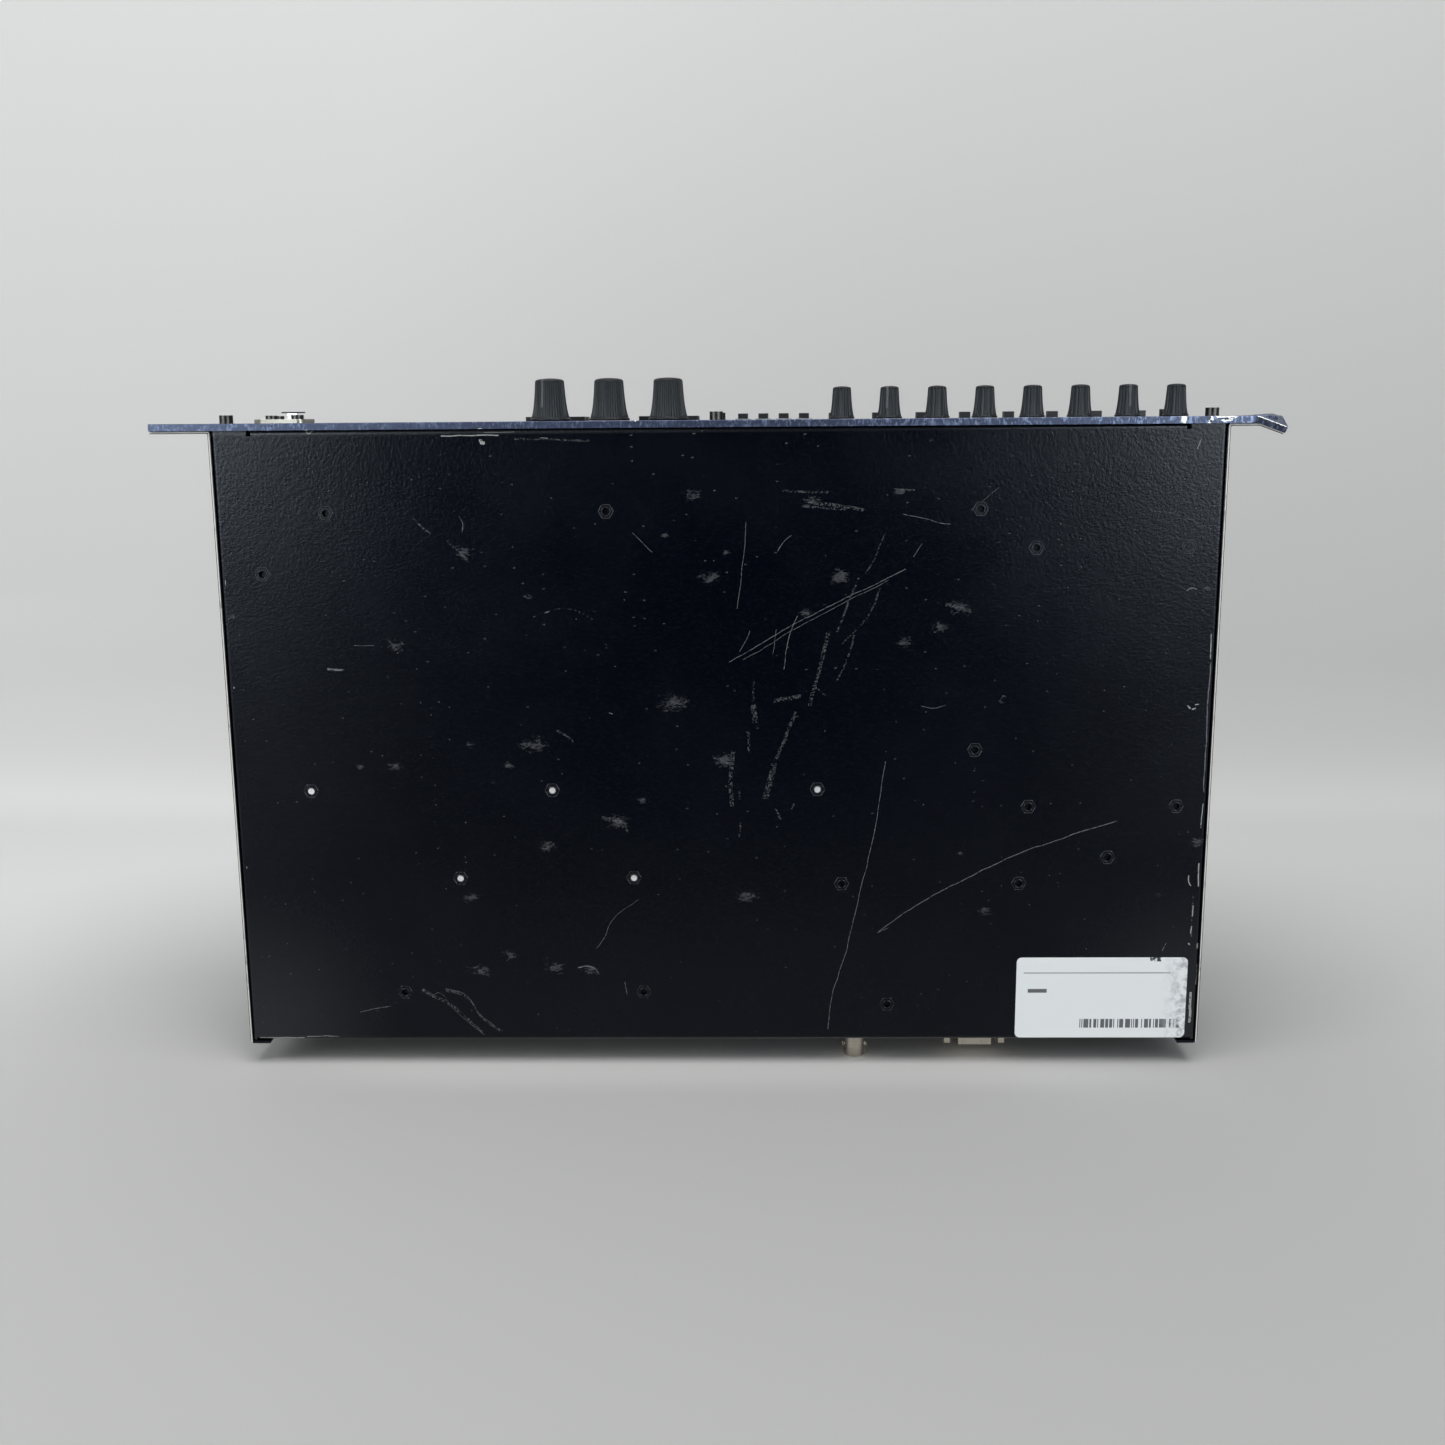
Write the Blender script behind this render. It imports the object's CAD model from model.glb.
"""The looks of a two-unit rack effects processor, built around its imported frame: a black
powder-coated chassis, a blue metal panel, fluted knobs, keys, sockets and one paper label.
Lengths are in metres, in the frame's own axes: +X right, +Y rear, +Z up.
"""
import math

import bmesh
import bpy
import numpy as np
from mathutils import Matrix, Vector


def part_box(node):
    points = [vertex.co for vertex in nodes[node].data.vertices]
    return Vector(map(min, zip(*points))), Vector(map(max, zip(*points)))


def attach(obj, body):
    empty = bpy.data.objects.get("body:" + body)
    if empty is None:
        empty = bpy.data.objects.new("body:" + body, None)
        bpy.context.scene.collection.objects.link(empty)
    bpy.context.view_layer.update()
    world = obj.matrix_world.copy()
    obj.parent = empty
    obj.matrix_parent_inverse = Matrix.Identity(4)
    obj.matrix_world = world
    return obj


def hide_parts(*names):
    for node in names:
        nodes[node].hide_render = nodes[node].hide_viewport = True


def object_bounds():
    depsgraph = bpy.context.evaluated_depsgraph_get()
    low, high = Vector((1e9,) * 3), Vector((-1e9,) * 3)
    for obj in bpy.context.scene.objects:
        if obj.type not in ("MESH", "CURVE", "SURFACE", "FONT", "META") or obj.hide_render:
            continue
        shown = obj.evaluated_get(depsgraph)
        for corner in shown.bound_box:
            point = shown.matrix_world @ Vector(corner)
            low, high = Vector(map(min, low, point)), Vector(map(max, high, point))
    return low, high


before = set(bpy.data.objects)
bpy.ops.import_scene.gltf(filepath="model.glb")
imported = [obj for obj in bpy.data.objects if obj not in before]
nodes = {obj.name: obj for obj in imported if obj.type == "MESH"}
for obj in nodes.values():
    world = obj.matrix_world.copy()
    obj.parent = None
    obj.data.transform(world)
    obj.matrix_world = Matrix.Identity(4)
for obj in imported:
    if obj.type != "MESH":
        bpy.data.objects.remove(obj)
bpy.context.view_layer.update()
MM = 0.001


# ---- Powder-coated steel --------------------------------------------------------------
# The pan, lid and brackets are folded from 1.2 mm steel and sprayed with a fine textured
# black powder, baked on. It is pebbled, with small pits, and a little cloudy in tone.


def shader(tree, kind, inputs=None, **settings):
    """One node of a material; inputs gives each socket a number, a colour or another socket."""
    made = tree.nodes.new(kind)
    for name, setting in settings.items():
        setattr(made, name, setting)
    for key, given in (inputs or {}).items():
        if isinstance(given, bpy.types.NodeSocket):
            tree.links.new(given, made.inputs[key])
        else:
            made.inputs[key].default_value = given
    return made


def maths(tree, operation, *given, clamp=False):
    """The output of one Math node."""
    return shader(tree, "ShaderNodeMath", dict(enumerate(given)),
                  operation=operation, use_clamp=clamp).outputs[0]


def product(tree, first, *others):
    """All the given values multiplied together."""
    for other in others:
        first = maths(tree, "MULTIPLY", first, other)
    return first


def greatest(tree, first, *others):
    """The greatest of the given values."""
    for other in others:
        first = maths(tree, "MAXIMUM", first, other)
    return first


def rest_of(tree, share):
    """What a share leaves of 1."""
    return maths(tree, "SUBTRACT", 1.0, share)


def vector(tree, operation, *given):
    """The vector output of one Vector Math node."""
    return shader(tree, "ShaderNodeVectorMath", dict(enumerate(given)),
                  operation=operation).outputs["Vector"]


def axes(tree, place):
    """The X, Y and Z of a place or a direction."""
    return shader(tree, "ShaderNodeSeparateXYZ", {0: place}).outputs


def ramp(tree, given, low, high, to_low=0.0, to_high=1.0):
    """A smooth step of a value from low to high."""
    return shader(tree, "ShaderNodeMapRange",
                  {"Value": given, "From Min": low, "From Max": high,
                   "To Min": to_low, "To Max": to_high},
                  interpolation_type="SMOOTHSTEP").outputs[0]


def grain(tree, place, scale, detail=2.0, roughness=0.5):
    """Noise from 0 to 1 with its features about 1 / scale metres apart."""
    return shader(tree, "ShaderNodeTexNoise",
                  {"Vector": place, "Scale": scale, "Detail": detail, "Roughness": roughness},
                  ).outputs["Fac"]


def cells(tree, place, scale):
    """Cells about 1 / scale metres apart: how far a place is from its cell's middle, as a
    share of that size, and a chance number from 0 to 1 for each cell."""
    made = shader(tree, "ShaderNodeTexVoronoi", {"Vector": place, "Scale": scale}, feature="F1")
    chance = shader(tree, "ShaderNodeSeparateColor", {0: made.outputs["Color"]}).outputs[0]
    return made.outputs["Distance"], chance


def blend_colours(tree, share, first, second):
    """One colour over another by a share from 0 to 1."""
    made = shader(tree, "ShaderNodeMix", {"Factor": share}, data_type="RGBA")
    for socket, given in zip((made.inputs[6], made.inputs[7]), (first, second)):
        if isinstance(given, bpy.types.NodeSocket):
            tree.links.new(given, socket)
        else:
            socket.default_value = (*given, 1.0)
    return made.outputs[2]


def new_finish(name):
    """A material with its tree, its surface shader and the place on the object."""
    made = bpy.data.materials.new(name)
    made.use_nodes = True
    tree = made.node_tree
    surface = tree.nodes["Principled BSDF"]
    place = shader(tree, "ShaderNodeTexCoord").outputs["Object"]
    return made, tree, surface, place


def raise_surface(tree, surface, height, distance):
    """Bump: the height, from 0 to 1, stands for that many metres."""
    bump = shader(tree, "ShaderNodeBump", {"Height": height, "Distance": distance})
    tree.links.new(bump.outputs["Normal"], surface.inputs["Normal"])


def set_colour(surface, colour):
    """A plain base colour on the shader's own socket."""
    surface.inputs["Base Color"].default_value = (*colour, 1.0)


def paint_over(tree, surface, share, colour):
    """Lays one more colour over a finish's own, by a share from 0 to 1."""
    base = surface.inputs["Base Color"]
    tree.links.new(blend_colours(tree, share, base.links[0].from_socket, colour), base)


def dress(names, finish):
    """Gives CAD nodes one finish in place of what the frame brought."""
    for name in names:
        nodes[name].data.materials.clear()
        nodes[name].data.materials.append(finish)


POWDER_BLACK = (0.0006, 0.0016, 0.0046)
POWDER_PALE = (0.0016, 0.0028, 0.0062)
POWDER_SPECK = (0.0026, 0.0040, 0.0075)
POWDER_SPECULAR = 0.2
POWDER_SMOOTHEST, POWDER_ROUGHEST = 0.23, 0.28
POWDER_RELIEF = 0.12 * MM
# Features in each metre, and the share of the cells that have no pit.
PEBBLES, CLOUDS, PITS = 780.0, 14.0, 230.0
WITHOUT_PIT = 0.62


def powder_coat(name):
    """Fine textured satin black: pebbled relief with small pits, paler on the pebbles' tops,
    and faint cloudy rubbing in the colour."""
    made, tree, surface, place = new_finish(name)
    pebbles = grain(tree, place, PEBBLES, 3.0, 0.65)
    clouds = grain(tree, place, CLOUDS, 4.0, 0.6)
    tree.links.new(blend_colours(tree, ramp(tree, clouds, 0.35, 0.75), POWDER_BLACK, POWDER_PALE),
                   surface.inputs["Base Color"])
    paint_over(tree, surface, ramp(tree, pebbles, 0.50, 0.66), POWDER_SPECK)
    tree.links.new(ramp(tree, clouds, 0.3, 0.7, POWDER_SMOOTHEST, POWDER_ROUGHEST),
                   surface.inputs["Roughness"])
    surface.inputs["Specular IOR Level"].default_value = POWDER_SPECULAR
    from_middle, chance = cells(tree, place, PITS)
    depth = product(tree, ramp(tree, from_middle, 0.13, 0.05),
                    maths(tree, "GREATER_THAN", chance, WITHOUT_PIT))
    raise_surface(tree, surface, maths(tree, "SUBTRACT", pebbles, depth), POWDER_RELIEF)
    return made, tree, surface, place


# ---- Bottom pan and its scratches -----------------------------------------------------
# The pan is the underside: one folded sheet, carried, stacked and slid about for years.
# Strokes are places where grit went through the powder; patches are rubbed places.


def ragged(tree, place, spot, scale, detail, reach):
    """A spot in millimetres, pushed about by noise, so that what is drawn on it has ragged
    edges. The reach is the noise's whole span along each axis."""
    wander = shader(tree, "ShaderNodeTexNoise",
                    {"Vector": place, "Scale": scale, "Detail": detail}).outputs["Color"]
    centred = vector(tree, "SUBTRACT", wander, (0.5, 0.5, 0.5))
    return vector(tree, "MULTIPLY_ADD", centred, reach, spot)


def stroke_mask(tree, crossing, running, half_width, course):
    """1 where a place lies on a stroke, else 0. The stroke is a smooth curve that gives the
    crossing coordinate for each running one; past its two ends the curve leaves sideways."""
    aside, step = 1000.0, 0.01
    before, after = course[0], course[-1]
    ends = [(before[0] - step, before[1] + aside), (after[0] + step, after[1] + aside)]
    made = shader(tree, "ShaderNodeFloatCurve", {"Value": running})
    made.mapping.use_clip = False
    curve = made.mapping.curves[0]
    for point, spot in zip(curve.points, ends):
        point.location = spot
    for spot in course:
        curve.points.new(*spot)
    for point in list(curve.points[:2]) + list(curve.points[-2:]):
        point.handle_type = "VECTOR"
    made.mapping.update()
    return maths(tree, "COMPARE", crossing, made.outputs[0], half_width)


def all_strokes(tree, x, y, strokes):
    """The union of many strokes. Each runs along the coordinate it covers more of."""
    union = None
    for half_width, *course in strokes:
        if abs(course[-1][0] - course[0][0]) > abs(course[-1][1] - course[0][1]):
            mask = stroke_mask(tree, y, x, half_width, sorted(course))
        else:
            mask = stroke_mask(tree, x, y, half_width, sorted((b, a) for a, b in course))
        union = mask if union is None else maths(tree, "MAXIMUM", union, mask)
    return union


# Half width, then points along each stroke, in millimetres along X and Y.
DEEP_STROKES = [
    (0.14, (4.5, 99.4), (42, 78.3), (68.6, 65.2), (81.2, 58.9)),
    (0.10, (10.6, 98.6), (42, 80.3), (68.6, 66.5), (74, 63.5)),
    (0.11, (14, 85.5), (12, 90), (9, 95)),
    (0.13, (34.8, 79), (31.2, 88.2), (28.4, 103)), (0.10, (25.6, 84.7), (23.5, 96.2)),
    (0.10, (12.5, 38.5), (11.5, 52), (8.5, 76.5)),
    (0.11, (73.5, 143), (69, 175), (62, 207.5), (55.5, 236.5), (50.5, 253), (48.5, 270.5)),
    (0.16, (71, 222.5), (86.5, 211), (107.5, 199), (125.5, 189.5), (146.5, 181), (176.5, 171)),
    (0.11, (-36.5, 42.5), (-28, 51.5)), (0.11, (79.2, 35.6), (90, 38.3), (95.5, 39.8), (100, 40.3)),
    (0.09, (108, 34.5), (120.5, 24.5)), (0.20, (204.4, 4.8), (202.8, 9.4)),
    (0.09, (-36.5, 207), (-49, 217.5), (-52, 224.5), (-57.5, 231.5)),
    (0.07, (-136.5, 249), (-132, 252), (-128, 251), (-123, 258), (-108.5, 272)),
    (0.07, (-125.5, 249), (-116, 252.5), (-110.5, 261), (-100, 270)),
    (0.10, (-166, 260.5), (-151, 257.5)), (0.10, (-43.5, 245.5), (-42.5, 253)),
    (0.12, (198.5, 232.5), (200.5, 227.5)), (0.12, (70.5, 223), (76, 220.5)),
    (0.13, (-110.5, 35.4), (-109.0, 38.8), (-109.6, 42.6)), (0.45, (-171.5, 101.4), (-164, 101.9)),
    (0.08, (-159.6, 90.9), (-149.6, 91.4)), (0.26, (-75.4, 77.6), (-72.9, 76.6)),
    (0.22, (-64.7, 239.4), (-58.4, 238.9), (-54.8, 242.7)),
    (0.17, (26.2, 51.5), (28.5, 47.5), (32.2, 44.3)), (0.14, (84, 54.3), (88.1, 48.2)),
    (0.22, (201.2, 69.8), (203.6, 67.9), (206.6, 68.7)), (0.22, (213.2, 100), (213.2, 122), (213.4, 159)),
    (0.09, (88.5, 118.9), (94, 119.9), (99.5, 118.5)),
    (0.12, (123, 117), (124.5, 114.8), (126, 116.8)), (0.18, (-48, 121.4), (-46, 122)),
]
FAINT_STROKES = [
    (0.8, (48.1, 86.1), (44.5, 101), (41.5, 112), (39.8, 119.5)),
    (0.7, (34, 121), (30.5, 130), (28, 137), (24.5, 144)), (0.45, (61, 62.7), (56, 75), (51.6, 86.9)),
    (0.3, (72, 43.9), (67.6, 54.6), (63.4, 61.2)), (0.4, (70, 67.2), (64.6, 80.2), (53.4, 92.2)),
    (0.45, (59.4, 87.6), (56, 99), (50.9, 109)), (0.9, (24.2, 116.5), (36.2, 114.7)),
    (1.2, (15.3, 118), (16, 127)), (0.4, (15.6, 107), (15.3, 118)), (0.4, (41, 109.5), (47.5, 114.7)),
    (1.3, (24.5, 144), (23, 150), (20.5, 161.5)), (0.9, (6.8, 138.5), (5, 151), (5.5, 164.5)),
    (0.5, (13.2, 130), (13.5, 140.5)), (0.5, (-2.5, 141.5), (5, 145)),
    (0.4, (9, 156.5), (9, 161.5)), (0.4, (9, 171), (9, 179)), (0.4, (24.5, 164.5), (27.5, 171)),
    (0.4, (33, 162.5), (31.5, 166)), (0.4, (-86, 3.0), (-70, 3.4), (-53.5, 4)),
    (0.5, (-131.2, 36.1), (-122.5, 43.4)), (0.6, (-117, 45.6), (-106.6, 55.1)),
    (0.16, (-80.5, 79.5), (-72, 76.2), (-62, 76), (-54, 80.5)), (0.6, (-72, 129.1), (-63.8, 134.5)),
    (0.9, (-52.2, 169.1), (-45.1, 171), (-40.7, 175.6)), (0.7, (98, 74.5), (110, 78)),
    (0.45, (28, 25.6), (48, 26.6)), (0.7, (38, 30.4), (50, 31.9), (63, 34)),
    (0.4, (36, 32.0), (55, 33.8)), (0.4, (75, 25.2), (84.5, 25.9)),
    (0.2, (184.5, 35.3), (197.7, 37.5), (211.2, 43.4)), (0.3, (211.2, 205), (211.2, 226)),
    (0.8, (-137, 249.2), (-131, 252.6), (-124, 256.5), (-109, 271)),
    (0.8, (-126, 249.3), (-116, 253.2), (-110, 262), (-101, 270)),
]
# Middle along X and Y and reach along Y, in millimetres; a patch reaches WIDER times as far
# along X.
WIDER = 1.7
RUBBED_PATCHES = [
    (-109.4, 51.2, 4.5), (-140.8, 91.5, 4.5), (-10.5, 27.2, 4), (-3.1, 62.6, 5),
    (-22.3, 44.1, 2), (-81.1, 70.4, 2), (-19, 117.3, 7), (-81, 135.8, 6),
    (-109.8, 135.7, 2.5), (-159.1, 145.5, 2), (-143.5, 145.1, 3), (-93.3, 144.8, 3),
    (-45.1, 171, 5), (-76.7, 182, 4.5), (-34.2, 161, 2.5), (-112.6, 206.1, 4),
    (-95.5, 233.1, 4), (-109.4, 240.3, 5), (-75.2, 239.3, 4.5), (-58.4, 240.5, 4.5),
    (52.8, 62.5, 5), (3.4, 51.9, 2.2), (38, 78, 3.5), (41, 30, 4), (78, 26.4, 3),
    (104.6, 76.2, 5), (96.1, 84.8, 4), (81.1, 91.3, 4), (122.9, 117.5, 1.8),
    (2.7, 142.9, 5), (12.6, 205.9, 4.5), (118.8, 212.7, 3), (107, 185.7, 1.8),
    (-211.5, 78, 2.4), (212.4, 181, 4), (210.5, 68.4, 2), (196, 206, 2),
]
# Half width and points, as for the strokes: paint worn off along the folds and corners.
WORN_EDGES = [
    (0.24, (-117.2, 1.5), (-104, 1.4), (-92, 1.6)), (0.10, (-99, 0.3), (-85, 0.4)),
    (0.10, (-74.7, 2.8), (-71, 3.0)), (0.80, (-100.6, 4.2), (-99.0, 4.5)),
    (0.60, (-99.4, 4.8), (-98.0, 4.6)), (0.45, (-101.0, 3.5), (-99.2, 3.6)),
    (0.32, (-175.1, -0.9), (-173.0, 0.6)), (0.32, (-173.0, 0.6), (-171.2, -1.3)),
    (0.20, (213.2, 87.6), (213.2, 99.4)), (0.40, (204.4, 119.0), (205.8, 121.2)),
    (0.26, (205.8, 121.2), (208.8, 120.2)), (0.20, (207.0, 119.2), (210.1, 118.8)),
    (0.16, (213.3, 163), (213.2, 175)), (0.24, (208.8, 196.0), (209.0, 199.5), (210.3, 201.9)),
    (0.28, (213.3, 190.8), (213.4, 202.0)), (0.22, (211.5, 209.7), (211.3, 216.2)),
    (0.40, (214.4, 227.6), (214.2, 231.8)), (0.36, (210.0, 227.6), (211.0, 229.8)),
    (0.24, (211.3, 219.2), (210.8, 224.4)), (0.22, (214.9, 237.5), (214.9, 249)),
    (0.55, (212.6, 251), (212.5, 267)), (0.12, (-213.0, 62), (-213.2, 65)),
    (0.12, (-212.4, 190), (-212.6, 193)), (0.20, (-212.6, 109), (-212.9, 110.5)),
    (0.28, (-213, 272.9), (-203, 272.9), (-191, 272.8)),
    (0.12, (-191, 272.4), (-183, 272.2), (-175, 272.4)),
]
# In millimetres along Y: the front fold's line, and where the rear fold starts and ends.
FOLD_Y, FOLD_WIDE = 0.1, 1.3
REAR_FOLD_FROM, REAR_FOLD_TO, REAR_FOLD_ROUGHNESS = 270.8, 272.4, 0.55
UNDERSIDE_TOP = -42.0 * MM
FOLD_PALE = (0.055, 0.060, 0.064)
DUST_FILM = (0.016, 0.017, 0.018)
CORNER_FILM = (0.019, 0.021, 0.024)
SCRATCH_PALE = (0.165, 0.174, 0.183)
RUB_PALE = (0.115, 0.122, 0.13)
BARE_STEEL = (0.33, 0.36, 0.34)
DEEP_SHARE, FAINT_SHARE, SPECK_SHARE, RUB_SHARE = 0.95, 0.55, 0.6, 0.5


def rubbed_patches(tree, place, spot):
    """1 on the streaks of the rubbed patches, which thin out towards their rims. Inside the
    nearest patch the depth is 1 less the distance from its middle as a share of its reach."""
    squeezed = vector(tree, "MULTIPLY", spot, (1 / WIDER, 1.0, 0.0))
    depth = None
    for x, y, reach in RUBBED_PATCHES:
        gap = shader(tree, "ShaderNodeVectorMath", {0: squeezed, 1: (x / WIDER, y, 0.0)},
                     operation="DISTANCE").outputs["Value"]
        inside = maths(tree, "MULTIPLY_ADD", gap, -1.0 / reach, 1.0, clamp=True)
        depth = inside if depth is None else maths(tree, "MAXIMUM", depth, inside)
    streaks = shader(tree, "ShaderNodeTexNoise", {
        "Vector": vector(tree, "MULTIPLY", place, (1.0, 2.2, 1.0)),
        "Scale": 330.0, "Detail": 5.0, "Roughness": 0.7, "Distortion": 1.2}).outputs["Fac"]
    dense = maths(tree, "MULTIPLY_ADD", depth, 0.34, maths(tree, "SUBTRACT", streaks, 0.22))
    return product(tree, ramp(tree, depth, 0.02, 0.2), ramp(tree, dense, 0.46, 0.62))


def loose_specks(tree, place):
    """1 on small pale specks, only where a slow noise is high."""
    from_middle, _ = cells(tree, place, 55.0)
    return product(tree, ramp(tree, from_middle, 0.030, 0.012),
                   ramp(tree, grain(tree, place, 23.0, 2.0), 0.60, 0.66))


def front_fold(tree, x, y, breaks):
    """The rubbed line along the front fold: a tent across it, broken by grain, and stronger
    towards the left end."""
    gap = maths(tree, "ABSOLUTE", maths(tree, "SUBTRACT", y, FOLD_Y))
    return product(tree, rest_of(tree, ramp(tree, gap, 0.0, FOLD_WIDE)),
                   ramp(tree, x, 120.0, -215.0, 0.15, 1.0),
                   ramp(tree, breaks, 0.30, 0.60, 0.45, 1.0))


def scratched_pan():
    """The pan's powder coat with strokes, rubbed patches, specks and bare worn edges, a film
    of dust on the rear wall and in the rear corners, and a duller rear fold."""
    made, tree, surface, place = powder_coat("pan_powder_coat")
    spot = vector(tree, "MULTIPLY", place, (1 / MM, 1 / MM, 0.0))
    shifted = ragged(tree, place, spot, 90.0, 2.0, (1.6, 1.6, 0.0))
    rough_x, rough_y, _ = axes(tree, shifted)
    underside = maths(tree, "LESS_THAN", axes(tree, place)["Z"], UNDERSIDE_TOP)
    x, y, _ = axes(tree, spot)

    breaks = grain(tree, place, 700.0, 3.0, 0.6)
    deep = product(tree, all_strokes(tree, rough_x, rough_y, DEEP_STROKES),
                   ramp(tree, breaks, 0.36, 0.52, 0.2, 1.0))
    crumbs = grain(tree, place, 1300.0, 3.0, 0.7)
    faint = product(tree, all_strokes(tree, rough_x, rough_y, FAINT_STROKES),
                    ramp(tree, crumbs, 0.48, 0.62))
    rub = product(tree, rubbed_patches(tree, place, shifted), RUB_SHARE, underside)
    pale = greatest(tree, product(tree, deep, DEEP_SHARE), product(tree, faint, FAINT_SHARE),
                    product(tree, loose_specks(tree, place), SPECK_SHARE))
    pale = product(tree, pale, underside)
    worn = product(tree, all_strokes(tree, rough_x, rough_y, WORN_EDGES),
                   ramp(tree, breaks, 0.34, 0.46))
    fold = front_fold(tree, x, y, breaks)

    rearward = axes(tree, shader(tree, "ShaderNodeNewGeometry").outputs["True Normal"])["Y"]
    dusty = product(tree, maths(tree, "GREATER_THAN", rearward, 0.8),
                    ramp(tree, grain(tree, place, 40.0, 5.0, 0.6), 0.25, 0.75, 0.4, 1.0))
    film = product(tree, ramp(tree, maths(tree, "ABSOLUTE", x), 140.0, 215.0),
                   ramp(tree, y, 190.0, 272.0))
    for share, colour in ((film, CORNER_FILM), (dusty, DUST_FILM), (fold, FOLD_PALE),
                          (rub, RUB_PALE), (pale, SCRATCH_PALE), (worn, BARE_STEEL)):
        paint_over(tree, surface, share, colour)

    duller = ramp(tree, y, REAR_FOLD_FROM, REAR_FOLD_TO, 0.0, REAR_FOLD_ROUGHNESS)
    coated = surface.inputs["Roughness"].links[0].from_socket
    tree.links.new(greatest(tree, coated, duller), surface.inputs["Roughness"])
    return made


dress(["bottom_pan"], scratched_pan())


# ---- Clinched standoffs ---------------------------------------------------------------
# Hexagonal steel standoffs are pressed into the pan before it is sprayed, so their ends are
# black with a bead of powder round each hexagon. Five screws were fitted later and show bright.

STUD_PLACES = np.array([
    (-168, 34), (-47.5, 34), (112.5, 34), (-197, 60), (112.5, 139), (-181.5, 156.5),
    (-74, 156.5), (43.5, 156.5), (-116.5, 197), (-38.5, 197), (54.5, 200), (-144, 251),
    (-35, 251), (75.5, 257), (136.7, 50.7), (136.7, 164.7), (201.7, 50.7), (201.7, 164.7),
    (133.5, 200), (172.5, 188)]) * MM
STUD_ACROSS = 5.7 * MM
BEAD_WIDE, BEAD_TALL = 0.50 * MM, 0.13 * MM
LIP_ACROSS, LIP_WIDE, LIP_TALL = 3.7 * MM, 0.40 * MM, 0.10 * MM
BEAD_BLACK = (0.003, 0.004, 0.007)
SEALED_STUD, SKIN_ROUND, SKIN_THICK = STUD_PLACES[16], 1.75 * MM, 0.10 * MM
BEAD_SUNK, SKIN_SUNK = 0.01 * MM, 0.02 * MM
# Heights above the pan's underside between which over-spray has turned the metal black.
STANDOFF_BLACK, SCREW_BLACK = (-1.0 * MM, 2.6 * MM), (1.4 * MM, 4.0 * MM)
OVERSPRAY_ROUGHNESS = 0.40
STANDOFF_STEEL = (0.30, 0.30, 0.31)
SCREW_ZINC = (0.96, 0.96, 0.95)


def place_mesh(name, mesh):
    """An object for a mesh, in the scene."""
    made = bpy.data.objects.new(name, mesh)
    bpy.context.scene.collection.objects.link(made)
    return made


def add_mesh(name, points, faces, smooth=True):
    """A mesh object from arrays of points and faces."""
    mesh = bpy.data.meshes.new(name)
    mesh.from_pydata(points.tolist(), [], faces if isinstance(faces, list) else faces.tolist())
    if smooth:
        mesh.shade_smooth()
    else:
        mesh.shade_flat()
    return place_mesh(name, mesh)


def ring_faces(rings, around):
    """Quads between neighbouring rings of a closed tube of points, facing outwards."""
    row, column = np.meshgrid(np.arange(rings - 1), np.arange(around), indexing="ij")
    following = (column + 1) % around
    return np.stack([row * around + column, row * around + following,
                     (row + 1) * around + following, (row + 1) * around + column],
                    axis=-1).reshape(-1, 4)


def powder_beads(name, places, low, across_flats, wide, tall, round_bead=False):
    """A low rounded ridge along the six sides of each hexagon, or round a circle. Round a
    hexagon the radius is half the width over flats divided by the cosine of the angle from
    the middle of the nearest side; across the ridge the height is a half sine."""
    around, across = 36, 6
    angle = np.linspace(0, 2 * np.pi, around, endpoint=False)
    from_flat = (angle + np.pi / 6) % (np.pi / 3) - np.pi / 6
    radius = across_flats / 2 / (1.0 if round_bead else np.cos(from_flat)) + 0 * angle
    share = np.linspace(0, 1, across)
    spread = radius[None, :] + wide * (share[:, None] - 0.5)
    ring = np.stack([spread * np.sin(angle), spread * np.cos(angle),
                     low - tall * np.sin(np.pi * share)[:, None] + 0 * spread], axis=-1)
    points = ring[None] + np.c_[places, np.zeros(len(places))][:, None, None, :]
    starts = np.arange(len(places))[:, None, None] * around * across
    faces = ring_faces(across, around)[None] + starts
    return add_mesh(name, points.reshape(-1, 3), faces.reshape(-1, 4))


def half_coated(name, black_heights, bright_colour, roughness, bareness=1.0):
    """Bright metal that is black with over-spray between two heights. A zinc coat that has
    gone dull counts as less than wholly bare metal."""
    made, tree, surface, place = powder_coat(name)
    black_from, black_to = (pan_low + height for height in black_heights)
    black = maths(tree, "COMPARE", axes(tree, place)["Z"],
                  (black_from + black_to) / 2, (black_to - black_from) / 2)
    bare = rest_of(tree, black)
    paint_over(tree, surface, bare, bright_colour)
    tree.links.new(product(tree, bare, bareness), surface.inputs["Metallic"])
    tree.links.new(ramp(tree, bare, 0.0, 1.0, OVERSPRAY_ROUGHNESS, roughness),
                   surface.inputs["Roughness"])
    return made


def rounded_plate(name, left, right, front, back, corner, low, thick):
    """A flat plate: a rectangle with quarter-circle corners, between two heights."""
    arcs = []
    for cx, cy, start in ((right - corner, back - corner, 0), (left + corner, back - corner, 90),
                          (left + corner, front + corner, 180),
                          (right - corner, front + corner, 270)):
        angle = np.radians(start + np.linspace(0, 90, 9))
        arcs.append(np.stack([cx + corner * np.cos(angle), cy + corner * np.sin(angle)], axis=-1))
    rim = np.concatenate(arcs)
    count = len(rim)
    points = np.concatenate([np.c_[rim, np.full(count, low)],
                             np.c_[rim, np.full(count, low + thick)]])
    faces = [list(range(count))[::-1], list(range(count, 2 * count))]
    faces += [[i, (i + 1) % count, count + (i + 1) % count, count + i] for i in range(count)]
    return add_mesh(name, points, faces, smooth=False)


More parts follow.
